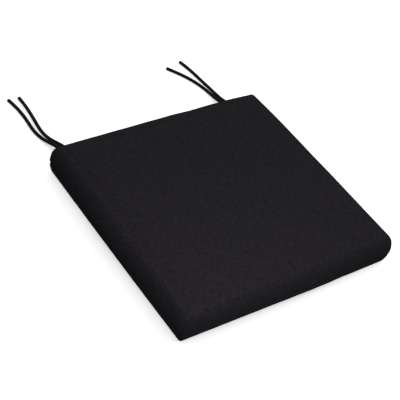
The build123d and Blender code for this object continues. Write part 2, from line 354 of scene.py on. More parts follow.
class Layer:
    """One layer's outline: a plan rectangle, two rims and the two heights at which its halves
    meet.

    side and back are how far it lies inside the pad's sides and back.
    """

    def __init__(self, side, back, low, high, gap, rim_inset, lean, base_radius, corner):
        self.half_x = HALF_X - side
        self.half_y = HALF_Y - (side + back) / 2
        self.shift_y = (side - back) / 2
        self.low = low
        self.high = high
        self.widest = WIDEST_Z
        self.lower_edge = SEAM_Z - gap
        self.upper_edge = SEAM_Z + gap
        self.rim_inset = rim_inset
        self.lean = lean
        self.base_radius = base_radius
        self.base_inset = lean + base_radius
        self.corner = corner

    def lines(self, half):
        """Lines across a panel as shares of its half width, close together near both corners."""
        inner = half - CORNER_LINES[-1]
        count = 2 * round(inner / GRID_STEP)
        middle = np.linspace(-inner, inner, count + 1)
        left = -half + CORNER_LINES[:-1]
        return np.concatenate([left, middle, -left[::-1]]) / half

    def leaning(self, height):
        """How far the side leans in below its widest height: a parabola."""
        return self.lean * np.clip((self.widest - height) / (self.widest - self.low), 0, 1) ** 2

    def upper_rows(self):
        """Inset and height of the upper rows, from the seam up to the rim: out to the widest
        height, then a quarter of a superellipse."""
        side = self.upper_edge + (self.widest - self.upper_edge) * np.linspace(0, 1, 9)[:-1] ** 1.3
        turn = np.linspace(0, math.pi / 2, 22)
        inwards = 1 - np.cos(turn) ** RIM_FULLNESS
        upwards = np.sin(turn) ** RIM_FULLNESS
        inset = np.concatenate([self.leaning(side), self.rim_inset * inwards])
        return inset, np.concatenate([side, self.widest + (self.high - self.widest) * upwards])

    def lower_rows(self):
        """Inset and height of the lower rows, from the base up to the seam: a quarter circle,
        then the leaning side."""
        turn = np.linspace(0, math.pi / 2, 9)
        foot = self.low + self.base_radius * (1 - np.cos(turn))
        side = self.lower_edge - (self.lower_edge - foot[-1]) * np.linspace(1, 0, 12)[1:] ** 1.4
        share = np.concatenate([np.sin(turn), np.ones(len(side))])
        height = np.concatenate([foot, side])
        rounding = self.base_radius * (1 - share)
        return self.leaning(height) + rounding - (self.leaning(self.low) - self.lean), height

    def panel(self, inset, height, facing):
        """A flat panel: its lines cross a rectangle set in from the outline, facing up or down."""
        across = self.lines(self.half_x) * (self.half_x - inset)
        along = self.lines(self.half_y) * (self.half_y - inset)
        if facing > 0:
            y, x = np.meshgrid(along, across, indexing="ij")
        else:
            x, y = np.meshgrid(across, along, indexing="ij")
        own_inset = np.minimum(self.half_x - np.abs(x), self.half_y - np.abs(y))
        return np.stack([x, y, np.full_like(x, height)], -1), own_inset, np.stack([x, y], -1)

    def sides(self, rows, panel_inset, panel_at_end):
        """Four sides from rows of inset and height, in the order front, right, back and left.

        A side's lines are the outline's lines drawn in by each row's inset, so neighbours
        meet on the mitre. The map carries on from the panel's edge by the distance along
        the rows.
        """
        inset, height = rows
        run = np.concatenate([[0.0], np.cumsum(np.hypot(np.diff(inset), np.diff(height)))])
        run = run[-1] - run if panel_at_end else run
        made = []
        for cos, sin in ((1, 0), (0, 1), (-1, 0), (0, -1)):
            along_half, out_half = (self.half_x, self.half_y) if cos else (self.half_y, self.half_x)
            along = self.lines(along_half)[None, :] * (along_half - inset[:, None])
            out = np.broadcast_to((out_half - inset)[:, None], along.shape)
            far = np.broadcast_to((out_half - panel_inset + run)[:, None], along.shape)
            points = np.stack([
                along * cos + out * sin,
                along * sin - out * cos,
                np.broadcast_to(height[:, None], along.shape),
            ], -1)
            uv = np.stack([along * cos + far * sin, along * sin - far * cos], -1)
            made.append((points, np.broadcast_to(inset[:, None], along.shape), uv))
        return made

    def upper(self):
        """The upper half's five patches: the top panel, then its sides."""
        return [self.panel(self.rim_inset, self.high, 1),
                *self.sides(self.upper_rows(), self.rim_inset, True)]

    def lower(self):
        """The lower half's five patches: the base panel, then its sides."""
        return [self.panel(self.base_inset, self.low, -1),
                *self.sides(self.lower_rows(), self.base_inset, False)]

    def rounded(self, points, inset):
        """Rounds the sharp corners of a stack of rectangles: what lies past a corner's centre
        moves onto the arc round that centre. The radius grows with height, is smaller at the
        rear left corner, and fades out towards the middle of a flat panel."""
        up = (points[..., 2] - self.low) / (self.high - self.low)
        rear_left = (points[..., 0] < 0) & (points[..., 1] > 0)
        share = (0.55 + 0.45 * up) * np.where(rear_left, REAR_LEFT_SHARE, 1.0)
        radius = self.corner * share * np.clip(1 - np.maximum(inset, 0) / (6 * self.corner), 0, 1)
        half = np.stack([self.half_x - inset - radius, self.half_y - inset - radius], -1)
        plan = points[..., :2]
        centre = np.clip(plan, -half, half)
        reach = plan - centre
        length = np.maximum(np.linalg.norm(reach, axis=-1, keepdims=True), 1e-12)
        both = (np.abs(reach) > 1e-9).all(-1, keepdims=True)
        moved = points.copy()
        moved[..., :2] = np.where(both, centre + reach / length * radius[..., None], plan)
        return moved

    def swollen(self, points, inset, shape):
        """Swells the sides between the corners and crowns the top.

        Sides: a parabola along the side times a half sine up it. Top: the product of one
        less the eighth power of each share across. The back rim has one hollow and one swell
        of its own, and the front's lower edge a swell that ends in a short hollow.
        """
        x, y = points[..., 0] / self.half_x, points[..., 1] / self.half_y
        z = points[..., 2]
        up = np.clip((z - self.low) / (self.high - self.low), 0, 1)
        near = np.clip(1 - inset / (2 * self.rim_inset), 0, 1)
        belly = shape.side_bulge * (0.6 + 0.4 * np.sin(up * math.pi)) * near
        moved = points.copy()
        on_x = np.clip((np.abs(x) - 0.9) * 10, 0, 1) ** 2
        on_y = np.clip((np.abs(y) - 0.9) * 10, 0, 1) ** 2
        moved[..., 0] += np.sign(x) * on_x * belly * np.clip(1 - y ** 2, 0, 1)
        at_back = np.where(y > 0, shape.back_bulge, 1.0)
        moved[..., 1] += np.sign(y) * on_y * belly * np.clip(1 - x ** 2, 0, 1) * at_back
        rim = bump_at(z, self.high - RIM_WAVE_DROP, RIM_WAVE_SPREAD) * near * on_y
        moved[..., 1] += np.where(y > 0, rim * waves_along(points[..., 0], BACK_RIM_WAVES), 0)
        foot = bump_at(z, self.low + FOOT_WAVE_RISE, FOOT_WAVE_SPREAD) * near * on_y
        moved[..., 1] -= np.where(y < 0, foot * waves_along(points[..., 0], FRONT_FOOT_WAVES), 0)
        middle = np.clip(1 - x ** 8, 0, 1) * np.clip(1 - y ** 8, 0, 1)
        moved[..., 2] += shape.crown * middle * np.clip((up - 0.6) / 0.4, 0, 1)
        return moved

    def relief(self, points, shape):
        """Height of the cloth over its smooth form, along the normal, from the unrounded places.

        Seam: a groove that falls off exponentially on both sides, deeper near the corners.
        Darts: a bell across each mitre. Gathers: noise along a seam, under a bell beside it.
        The slow swells fade out towards the base.
        """
        x, y, z = np.moveaxis(points, -1, 0)
        in_x, in_y = self.half_x - np.abs(x), self.half_y - np.abs(y)
        from_seam = np.abs(z - SEAM_Z)
        to_mitre = np.abs(in_x - in_y)
        outline = np.where(in_x < in_y, y, x)
        turn = np.where(in_x < in_y, 1.0, 2.0) + np.where(x + y > 0, 4.0, 0.0)
        lifted = np.clip((z - self.low) / (3 * MM), 0, 1)
        crease = np.exp(-from_seam / shape.seam_width)
        relief = -shape.seam_depth * crease * (1 + 0.3 * bump_at(to_mitre, 0, 25 * MM))
        gather = slow_noise(outline + turn, z * 0.3, 14 * MM, 11)
        gather = gather * bump_at(from_seam, 4.5 * MM, 4.5 * MM)
        ripple = slow_noise(outline + turn, z * 0.5, 32 * MM, 12)
        ripple = ripple * bump_at(from_seam, 8 * MM, 9 * MM)
        relief += shape.pucker * (gather + 1.2 * ripple) * lifted
        dart = np.clip((self.high - 1.0 * MM - z) / (7 * MM), 0, 1) * lifted
        relief -= shape.dart_depth * bump_at(to_mitre, 0, shape.dart_width) * dart
        fold = slow_noise(z, turn * 0.1, 12 * MM, 5) * bump_at(to_mitre, 5 * MM, 5 * MM)
        relief += shape.pucker * fold * dart
        slow = slow_noise(x, y, 150 * MM, 3) + 0.35 * slow_noise(x, y, 55 * MM, 4)
        return relief + shape.unevenness * slow * np.clip((z - self.low - 4 * MM) / (20 * MM), 0, 1)

    def formed(self, outline, shape):
        """The outline's patches rounded and swollen, with their maps."""
        return [(self.swollen(self.rounded(points, inset), inset, shape), uv)
                for points, inset, uv in outline]

    def shifted(self, points):
        """Moves finished points from the layer's own centre to its place in the pad."""
        moved = points.copy()
        moved[..., 1] += self.shift_y
        return moved


def cover_layer(shape):
    """The cover: the pad's full outline."""
    return Layer(side=0.0, back=0.0, low=0.0, high=HEIGHT, gap=0.0, rim_inset=shape.rim_inset,
                 lean=shape.lean, base_radius=shape.base_radius, corner=shape.corner_radius)


def waves_along(x, waves):
    """A sum of bells along x, each a height, a centre and a width."""
    return sum(height * bump_at(x, centre, width) for height, centre, width in waves)


def smooth_window(x, half, ramp):
    """One between minus half and half, falling to zero over the ramp beyond, as a smoothstep."""
    share = np.clip((half + ramp - np.abs(x)) / ramp, 0, 1)
    return share * share * (3 - 2 * share)


# ---------------------------------------------------------------- materials

class Value:
    """A shader socket. Sums, products and powers of it add Math nodes."""

    def __init__(self, graph, socket):
        self.graph = graph
        self.socket = socket

    def math(self, operation, *others):
        """A Math node of this value and the others."""
        node = self.graph.tree.nodes.new("ShaderNodeMath")
        node.operation = operation
        for slot, value in zip(node.inputs, (self, *others)):
            self.graph.feed(slot, value)
        return Value(self.graph, node.outputs[0])

    def kept_between(self, low, high):
        """This value, no lower and no higher than the limits."""
        return self.math("MINIMUM", high).math("MAXIMUM", low)

    def wave(self, wavelength):
        """A sine of this value."""
        return (self * (2 * math.pi / wavelength)).math("SINE")

    def __add__(self, other):
        return self.math("ADD", other)

    def __sub__(self, other):
        return self.math("SUBTRACT", other)

    def __mul__(self, other):
        return self.math("MULTIPLY", other)

    def __rsub__(self, other):
        return (self * -1.0) + other

    __radd__ = __add__
    __rmul__ = __mul__


class Graph:
    """A node tree. Every node but the Math nodes comes from node()."""

    def __init__(self, tree):
        self.tree = tree

    def feed(self, socket, value):
        """Links a Value to a socket, or sets a plain number or colour on it."""
        if isinstance(value, Value):
            self.tree.links.new(value.socket, socket)
        else:
            socket.default_value = value

    def node(self, kind, sockets, output=0, stops=None, **settings):
        """Adds a node of any type: its settings first, then its sockets by name or number."""
        made = self.tree.nodes.new(kind)
        for name, value in settings.items():
            setattr(made, name, value)
        if stops:
            for element, (position, shade) in zip(made.color_ramp.elements, stops):
                element.position, element.color = position, shade
        for key, value in sockets.items():
            self.feed(made.inputs[key], value)
        return Value(self, made.outputs[output])

    def part(self, vector, axis):
        """One coordinate of a vector, by number."""
        return self.node("ShaderNodeSeparateXYZ", {"Vector": vector}, output=axis)


class Finish(Graph):
    """A material, whose constants are set on its shader."""

    def __init__(self, name, **constants):
        self.material = bpy.data.materials.new(name)
        self.material.use_nodes = True
        super().__init__(self.material.node_tree)
        self.shader = self.tree.nodes["Principled BSDF"]
        self.surface(**constants)

    def surface(self, **sockets):
        """Sets or links the shader's sockets, named with underscores for spaces."""
        for name, value in sockets.items():
            self.feed(self.shader.inputs[name.replace("_", " ")], value)
        return self.material

    def place(self):
        """The point's place on the object, in metres."""
        return self.node("ShaderNodeTexCoord", {}, output="Object")

    def pattern(self):
        """The two coordinates of the piece's own map, in metres."""
        uv = self.node("ShaderNodeUVMap", {}, uv_map="Pattern")
        return self.part(uv, 0), self.part(uv, 1)

    def noise(self, where, scale, detail, output="Fac"):
        """Fractal noise at a place."""
        return self.node("ShaderNodeTexNoise", {"Vector": where, "Scale": scale, "Detail": detail},
                         output=output)

    def tint(self, shade, base, low, high):
        """The base colour, lighter as the shade grows between two stops. A stop is a shade and
        the share of the base colour there."""
        stops = [(at, colour([c * share for c in base])) for at, share in (low, high)]
        return self.node("ShaderNodeValToRGB", {"Fac": shade}, stops=stops)

    def bump(self, height, strength, distance):
        """A normal tilted by the slope of a height."""
        return self.node("ShaderNodeBump", {"Height": height, "Strength": strength, "Distance": distance})


def colour(rgb):
    """A colour with its alpha of one."""
    return (*rgb, 1.0)


def streaks(finish, u, v, across, along, detail=2.0):
    """Noise drawn out along v: a yarn's own lighter and darker lengths."""
    where = finish.node("ShaderNodeCombineXYZ", {"X": u * across, "Y": v * along})
    return finish.noise(where, 1.0, detail)


def woven_height(u, v, pitch):
    """Plain weave: over and under in a checkerboard, each yarn a rounded ridge between its
    neighbours."""
    across, along = u.wave(2 * pitch), v.wave(2 * pitch)
    over = (across * along * 6.0).kept_between(-1.0, 1.0) * 0.5 + 0.5
    return across.math("ABSOLUTE") * over + along.math("ABSOLUTE") * (1.0 - over)


def bell(value):
    """One at zero, falling away on both sides: e to minus the square."""
    return (value * value * -1.0).math("EXPONENT")


def crease_shade(finish, depth):
    """Painted shade in the side seam and in the corner darts, as the share of the colour left there: one
    less a bell across the seam's height, deeper near the corners, times one less a bell across each mitre
    that fades out upwards."""
    place = finish.place()
    x, y, z = (finish.part(place, axis) for axis in range(3))
    to_mitre = (x.math("ABSOLUTE") - y.math("ABSOLUTE") + (HALF_Y - HALF_X)) * (1 / MM)
    seam = bell((z - SEAM_Z) * (1 / MM) * 0.5)
    corner = bell(to_mitre * 0.030) * 0.75 + 0.25
    below_rim = (z * -50.0 + HEIGHT * 50.0 * 0.92).kept_between(0.0, 1.0)
    dart = bell(to_mitre * 0.55) * below_rim
    return (1.0 - seam * corner * depth) * (1.0 - dart * depth)


def woven_material(name, base, pitch, depth, contrast, crease=0.0):
    """Matt woven cloth: a plain weave whose yarns vary in thickness and shade along their
    length."""
    finish = Finish(name, Sheen_Weight=0.012, Sheen_Roughness=0.45, Specular_IOR_Level=0.04,
                    Sheen_Tint=(0.80, 0.78, 0.90, 1.0))
    u, v = finish.pattern()
    slub = streaks(finish, u, v, 0.50 / pitch, 0.11 / pitch)
    slub = slub + streaks(finish, v, u, 0.46 / pitch, 0.10 / pitch) - 1.0
    mottle = streaks(finish, u, v, 40.0, 40.0, detail=4.0)
    height = woven_height(u, v, pitch)
    shade = (height - 0.6) * 0.35 + slub * contrast + (mottle - 0.5) * 0.35 + 0.5
    # painted shade: the cloth's colour is darkened in the side seam and in the corner darts
    if crease:
        shade = (shade + 0.6) * crease_shade(finish, crease) - 0.6
    return finish.surface(
        Base_Color=finish.tint(shade, base, (0.0, 0.55), (1.0, 1.55)),
        Roughness=(mottle - 0.5) * 0.08 + 0.95,
        Normal=finish.bump(height + slub * 1.6, 0.55, depth))


def foam_material(base):
    """Open-cell foam: fine pits and a slight yellowing in broad patches."""
    finish = Finish("foam", Specular_IOR_Level=0.2, Roughness=0.95)
    where = finish.place()
    cells = finish.node("ShaderNodeTexVoronoi", {"Vector": where, "Scale": 900.0})
    shade = cells * 0.35 + finish.noise(where, 9.0, 3.0) * 0.6
    return finish.surface(
        Base_Color=finish.tint(shade, base, (0.15, 0.72), (0.75, 1.0)),
        Normal=finish.bump(cells, 0.7, 0.6 * MM))


def fibre_material(base):
    """Fibre wrap: long crossing hairs with a soft sheen."""
    finish = Finish("fibre_wrap", Sheen_Weight=0.4, Sheen_Roughness=0.6, Specular_IOR_Level=0.2,
                    Roughness=0.9)
    hairs = finish.noise(finish.noise(finish.place(), 60.0, 3.0, output="Color"), 34.0, 6.0)
    return finish.surface(
        Base_Color=finish.tint(hairs, base, (0.3, 0.8), (0.7, 1.0)),
        Normal=finish.bump(hairs, 0.6, 1.0 * MM))


def coil_material(base):
    """Nylon monofilament: satin, with fine rubbed streaks."""
    finish = Finish("zip_coil", Specular_IOR_Level=0.5)
    rub = finish.noise(finish.place(), 700.0, 3.0)
    return finish.surface(
        Base_Color=finish.tint(rub, base, (0.3, 0.7), (0.8, 1.8)), Roughness=rub * 0.25 + 0.30)


def lacquer_material(base):
    """Black lacquer over cast metal: satin, slightly orange-peeled, rubbed thin on raised edges."""
    finish = Finish("zip_lacquer", Coat_Weight=0.25, Coat_Roughness=0.3)
    where = finish.place()
    wear = finish.noise(where, 260.0, 5.0)
    edge = finish.node("ShaderNodeNewGeometry", {}, output="Pointiness")
    rubbed = ((edge - 0.5) * 5.0 + wear - 0.75).kept_between(0.0, 1.0)
    # sockets 6 and 7 and output 2 are the ones that carry colours
    tint = finish.node("ShaderNodeMix", {"Factor": rubbed, 6: colour(base), 7: (0.30, 0.29, 0.28, 1.0)},
                       output=2, data_type="RGBA")
    return finish.surface(
        Base_Color=tint, Roughness=wear * 0.2 + 0.28, Metallic=rubbed,
        Normal=finish.bump(finish.noise(where, 900.0, 2.0), 0.25, 0.1 * MM))


def tape_material(base):
    """Zip tape: herringbone twill, whose ridges lean one way and then the other in narrow
    bands."""
    finish = Finish("zip_tape", Sheen_Weight=0.15, Specular_IOR_Level=0.2)
    u, v = finish.pattern()
    band = v.wave(3.2 * MM).math("SIGN")
    ridge = (u + v * band * 0.9).wave(0.7 * MM) * 0.5 + 0.5
    mottle = finish.noise(finish.place(), 400.0, 3.0)
    return finish.surface(
        Base_Color=finish.tint(ridge * 0.5 + mottle * 0.5, base, (0.1, 0.6), (0.9, 1.6)),
        Roughness=mottle * 0.1 + 0.8,
        Normal=finish.bump(ridge + v.wave(0.4 * MM) * 0.12, 0.6, 0.1 * MM))


def thread_material(name, base):
    """Spun sewing thread: a fine diagonal twist with a faint sheen."""
    finish = Finish(name, Sheen_Weight=0.3, Specular_IOR_Level=0.3)
    u, v = finish.pattern()
    twist = (u + v).wave(0.32 * MM) * 0.5 + 0.5
    return finish.surface(
        Base_Color=finish.tint(twist, base, (0.0, 0.9), (1.0, 2.4)),
        Roughness=twist * 0.1 + 0.6,
        Normal=finish.bump(twist, 0.6, 0.06 * MM))


# ---------------------------------------------------------------- cover

def simulated_swell(points, quads, held, limits):
    """How far each point swells outwards when the filling presses on the cloth.

    A pressure simulation of the closed cover with the held points pinned. The swell
    follows the normal and levels off at the limit, which is larger upwards than sideways.
    """
    mesh = build_mesh("swelling", points, quads)
    cover = bpy.data.objects.new("swelling", mesh)
    bpy.context.scene.collection.objects.link(cover)
    pins = cover.vertex_groups.new(name="held")
    pins.add(np.flatnonzero(held).tolist(), 1.0, "REPLACE")
    cloth = cover.modifiers.new("swelling", "CLOTH")
    for name, value in CLOTH_SETTINGS.items():
        setattr(cloth.settings, name, value)
    cloth.settings.effector_weights.gravity = 0.0
    cloth.collision_settings.use_collision = False
    cloth.point_cache.frame_start = 1
    cloth.point_cache.frame_end = CLOTH_FRAMES
    for step in range(1, CLOTH_FRAMES + 1):
        bpy.context.scene.frame_set(step)
    shaped = cover.evaluated_get(bpy.context.evaluated_depsgraph_get()).data
    after = np.empty(len(points) * 3, np.float32)
    shaped.vertices.foreach_get("co", after)
    bpy.context.scene.frame_set(1)
    bpy.data.objects.remove(cover)
    bpy.data.meshes.remove(mesh)
    normals = vertex_normals(points, quads)
    move = ((after.reshape(-1, 3) - points) * normals).sum(-1, keepdims=True)
    limit = np.abs(normals) @ limits[:, None]
    return normals * limit * np.tanh(np.maximum(move, 0.0) / limit)


def every_second(count):
    """Every second line of a grid, and its last."""
    return np.unique(np.append(np.arange(0, count, 2), count - 1))


def spread(values, lines, count):
    """Carries values on some of a grid's lines to all of them, in straight steps between."""
    every = np.arange(count)
    below = np.clip(np.searchsorted(lines, every, side="right") - 1, 0, len(lines) - 2)
    share = (every - lines[below]) / (lines[below + 1] - lines[below])
    share = share.reshape(-1, *[1] * (values.ndim - 1))
    return values[below] * (1 - share) + values[below + 1] * share


def pressed_out(smooth, outline, limits):
    """The patches after the cloth simulation, which runs on every second line of their grids."""
    picks = [(every_second(len(points)), every_second(points.shape[1])) for points, _ in smooth]
    coarse = [(points[np.ix_(*pick)], uv[np.ix_(*pick)]) for (points, uv), pick in zip(smooth, picks)]
    points, quads, _, places = weld(coarse)
    plain = [own[np.ix_(*pick)] for (own, _, _), pick in zip(outline, picks)]
    x, y, z = gathered(plain, places, points).T
    from_seam = np.abs(z - SEAM_Z)
    held = (z < 0.3 * MM) | (from_seam < 0.3 * MM)
    held |= (y > HALF_Y - 1 * MM) & (from_seam < 9 * MM) & (np.abs(x) < ZIP_HALF + 10 * MM)
    move = simulated_swell(points, quads, held, limits)
    made = []
    for (grid, uv), place, (rows, columns) in zip(smooth, places, picks):
        by_row = spread(move[place], rows, len(grid))
        whole = spread(by_row.swapaxes(0, 1), columns, grid.shape[1]).swapaxes(0, 1)
        made.append((grid + whole, uv))
    return made


def turned_in(edge, middle, side):
    """The seam allowance of one edge: rows that turn inwards from the edge and run level into the pad.

    The turn is a quarter circle. Each row's points move from the edge towards the
    nearest point of an inner rectangle, given as middle.
    """
    inwards = middle - edge
    inwards[..., 2] = 0
    inwards /= np.maximum(np.linalg.norm(inwards, axis=-1, keepdims=True), 1e-12)
    lift = np.array([0.0, 0.0, side])
    rows = [edge]
    turn_radius = 0.5 * MM
    for angle in np.linspace(0.3, math.pi / 2, 4):
        rows.append(edge + inwards * turn_radius * (1 - math.cos(angle))
                    - lift * turn_radius * math.sin(angle) * 0.5)
    for depth in (1.2, 2.2, 3.6, 5.0):
        rows.append(rows[4] + inwards * depth * MM + lift * 0.02 * MM)
    return np.stack(rows if side < 0 else rows[::-1])


def seam_parting(x):
    """Half the opening between the halves' edges at the back: full along the zip, a little
    at each tie."""
    ties = sum(bump_at(x, exit_x, 3.2 * MM) for exit_x, _ in TIE_ROUTES.values())
    return ZIP_HALF_GAP * smooth_window(x, ZIP_HALF, ZIP_RAMP) + TIE_HALF_GAP * np.clip(ties, 0, 1)


def parted(points, side):
    """Draws a back side's edge away from the seam line. The move fades up the side."""
    share = np.clip(1 - np.abs(points[..., 2] - SEAM_Z) / (13 * MM), 0, 1) ** 1.5
    opening = seam_parting(points[..., 0])
    moved = points.copy()
    moved[..., 2] += side * opening * share
    level = HALF_Y - 0.1 * MM - moved[..., 1]
    moved[..., 1] += level * share * smooth_window(points[..., 0], ZIP_HALF, ZIP_RAMP)
    return moved


def sewn_cover(shape):
    """The two halves of the cover as patches of finished points with their maps.

    The outline is rounded, swollen and welded whole, the cloth simulation swells it, and
    seams, darts and gathers follow along the normals.
    """
    layer = cover_layer(shape)
    outline = layer.upper() + layer.lower()
    smooth = layer.formed(outline, shape)
    smooth = pressed_out(smooth, outline, np.array(shape.swell_limits))
    points, quads, _, places = weld(smooth)
    plain = gathered([own for own, _, _ in outline], places, points)
    normals = vertex_normals(points, quads)
    points = points + normals * layer.relief(plain, shape)[:, None]
    points[:, 2] = np.maximum(points[:, 2], 0.0)
    return [(points[place], uv) for place, (_, _, uv) in zip(places, outline)]


def back_faces(patches):
    """The back side of the upper and the lower half, with the opening drawn round the zip."""
    for index, side in BACK_PATCHES:
        points, uv = patches[index]
        patches[index] = (parted(points, side), uv)


def with_allowance(patches, side):
    """Adds the seam allowance to a half: each side's edge row turns in and runs level."""
    made = list(patches)
    for points, uv in patches[1:]:
        edge = points[0] if side > 0 else points[-1]
        edge_uv = uv[0] if side > 0 else uv[-1]
        inner = np.array([HALF_X - 8 * MM, HALF_Y - 8 * MM])
        middle = np.concatenate([np.clip(edge[:, :2], -inner, inner), edge[:, 2:]], -1)
        rows = turned_in(edge, middle, side)
        depth = np.linspace(0, 6 * MM, len(rows))[:, None, None]
        out = edge_uv / np.maximum(np.abs(edge_uv).max(-1, keepdims=True), 1e-9)
        made.append((rows, edge_uv[None] + out[None] * (depth if side < 0 else depth[::-1])))
    return made


class SEATPAD_OT_cover(bpy.types.Operator):
    """Sew the upper and lower halves of the cover"""
    bl_idname = "seatpad.cover"
    bl_label = "Cover"

    def execute(self, context):
        shape = context.scene.seat_pad_shape
        fabric = woven_material("cover_fabric", context.scene.seat_pad_colours.fabric,
                                pitch=0.85 * MM, depth=0.25 * MM, contrast=1.8, crease=0.50)
        patches = sewn_cover(shape)
        back_faces(patches)
        for name, half, side, node in (
                ("pad_cover_top", patches[:5], 1, "cover_top"),
                ("pad_cover_base", patches[5:], -1, "cover_bottom")):
            piece = add_piece(name, with_allowance(half, side), fabric, "pad", "cover_fabric")
            cloth = piece.modifiers.new("cloth", "SOLIDIFY")
            cloth.thickness = shape.cloth
            cloth.offset = -1.0
            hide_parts(node)
        add_topstitching(context, patches)
        return {"FINISHED"}


# ---------------------------------------------------------------- thread

def stitches(starts, ends, outwards, width):
    """Sewing thread: one short arched stitch from each start to its end.

    A stitch is a tube of six sides over seven rings. Its middle stands off the cloth by
    a half sine, and its ends dive under it.
    """
    share = np.linspace(0, 1, 7)
    rise = (np.sin(share * math.pi) * 0.55 - 0.22) * width
    along = ends - starts
    across = np.cross(along, outwards)
    across /= np.linalg.norm(across, axis=-1, keepdims=True)
    angle = np.linspace(0, 2 * math.pi, 7)
    taper = np.array([0.0, 0.8, 1.0, 1.0, 1.0, 0.8, 0.0]) * width / 2
    middle = starts[:, None] + along[:, None] * share[:, None] + outwards[:, None] * rise[:, None]
    ring = (across[:, None, None] * np.cos(angle)[:, None]
            + outwards[:, None, None] * np.sin(angle)[:, None])
    points = middle[:, :, None] + ring * taper[:, None, None]
    uv = np.stack(np.broadcast_arrays(share[:, None] * 3 * MM, angle[None, :] * width / 2), -1)
    return [(grid, uv) for grid in points]


def on_surface(patch, x, z):
    """The y of a back side at places x and a height z, read off its grid of points."""
    grid = patch[0]
    columns = np.argsort(grid[0, :, 0])
    grid_x = grid[:, columns, 0].mean(0)
    order = np.argsort(grid[:, len(columns) // 2, 2])
    y_at = np.array([np.interp(z, grid[order, column, 2], grid[order, column, 1]) for column in columns])
    return np.interp(x, grid_x, y_at)


def on_back(patch, x, z):
    """Points on a back side at pairs of x and z."""
    return np.stack([x, [on_surface(patch, at, height) for at, height in zip(x, z)], z], -1)


def add_topstitching(context, patches):
    """Two rows of thread beside the zip, joined by bars across both of its ends."""
    pitch, length, width = ZIP_STITCH
    half = ZIP_HALF + ZIP_RAMP
    reach = ZIP_HALF_GAP + ZIP_STITCH_OFFSET
    lines = []
    for index, side in BACK_PATCHES:
        x = np.arange(-half, half - length, pitch)
        lines.append((patches[index], x, np.full_like(x, SEAM_Z + side * reach), length, 0.0))
    for bar in (-half, -half + BAR_GAP, half - BAR_GAP, half):
        for index, side in BACK_PATCHES:
            z = SEAM_Z + side * np.arange(1.0 * MM, reach - length / 2, pitch)
            lines.append((patches[index], np.full_like(z, bar), z, 0.0, side * length))
    made = []
    for patch, x, z, step_x, step_z in lines:
        starts = on_back(patch, x, z)
        outwards = np.broadcast_to(np.array([0.0, 1.0, 0.0]), starts.shape)
        made += stitches(starts, on_back(patch, x + step_x, z + step_z), outwards, width)
    thread = thread_material("thread", context.scene.seat_pad_colours.tie)
    add_piece("pad_zip_stitching", made, thread, "pad", "cover_fabric")


# ---------------------------------------------------------------- filling

class SEATPAD_OT_filling(bpy.types.Operator):
    """Make the foam slab and the two halves of its fibre wrap"""
    bl_idname = "seatpad.filling"
    bl_label = "Filling"

    def execute(self, context):
        shape = context.scene.seat_pad_shape
        colours = context.scene.seat_pad_colours
        wrap = Layer(side=4.0 * MM, back=6.0 * MM, low=2.6 * MM, high=HEIGHT - 4.2 * MM,
                     gap=1.3 * MM, rim_inset=shape.rim_inset, lean=shape.lean,
                     base_radius=3 * MM, corner=10 * MM)
        fibre = fibre_material(colours.fibre)
        for name, patches, node in (
                ("pad_fibre_top", wrap.upper(), "fibre_wrap_top"),
                ("pad_fibre_base", wrap.lower(), "fibre_wrap_bottom")):
            piece = self.layer(name, wrap, patches, shape, fibre, node)
            loft = piece.modifiers.new("loft", "SOLIDIFY")
            loft.thickness = 4.2 * MM
            loft.offset = -1.0
        foam = Layer(side=9.2 * MM, back=11.2 * MM, low=7.6 * MM, high=HEIGHT - 9.4 * MM,
                     gap=0.0, rim_inset=0.6 * shape.rim_inset, lean=0.6 * shape.lean,
                     base_radius=2.5 * MM, corner=6 * MM)
        self.layer("pad_foam", foam, foam.upper() + foam.lower(), shape,
                   foam_material(colours.foam), "foam_core")
        return {"FINISHED"}

    def layer(self, name, layer, outline, shape, material, node):
        """A padded piece from a layer's patches: rounded, swollen, and uneven along its normals."""
        points, quads, uv, places = weld(layer.formed(outline, shape))
        plain = gathered([own for own, _, _ in outline], places, points)
        depth = shape.seam_depth if name != "pad_foam" else 0.0
        relief = -depth * bump_at(plain[:, 2], SEAM_Z, 2 * shape.seam_width)
        relief += 0.25 * MM * slow_noise(plain[:, 0], plain[:, 1] + plain[:, 2], 16 * MM, 21)
        points = layer.shifted(points + vertex_normals(points, quads) * relief[:, None])
        piece = add_object(name, build_mesh(name, points, quads, uv), material, "pad",
                           "foam" if node == "foam_core" else "fibre_wrap")
        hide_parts(node)
        0.9 if node == "foam_core" else 0.6
        return piece


# ---------------------------------------------------------------- zip

def coil_line(side, turns_pitch, half_length):
    """Centre line of a zip coil: a flattened helix along x.

    Across the tape it runs between its heads at the slit and the back of the coil. The
    lower coil is half a turn on. The slit leaves room for the slider's bridge.
    """
    sides = 12
    turns = int(2 * half_length / turns_pitch) - 1
    angle = np.linspace(0, 2 * math.pi * turns, turns * sides + 1)
    x = -half_length + (angle / (2 * math.pi) + (0 if side > 0 else 0.5)) * turns_pitch
    outer_z = COIL_HIGH.z - SEAM_Z - COIL_WIRE / 2
    head_z = SLIT_HALF + COIL_WIRE / 2
    middle_z = (outer_z + head_z) / 2
    reach_z = (outer_z - head_z) / 2
    middle_y = (COIL_LOW.y + COIL_HIGH.y) / 2
    reach_y = (COIL_HIGH.y - COIL_LOW.y) / 2 - COIL_WIRE / 2
    z = SEAM_Z + side * (middle_z - reach_z * np.cos(angle))
    y = middle_y + reach_y * np.sin(angle)
    return np.stack([x, y, z], -1)


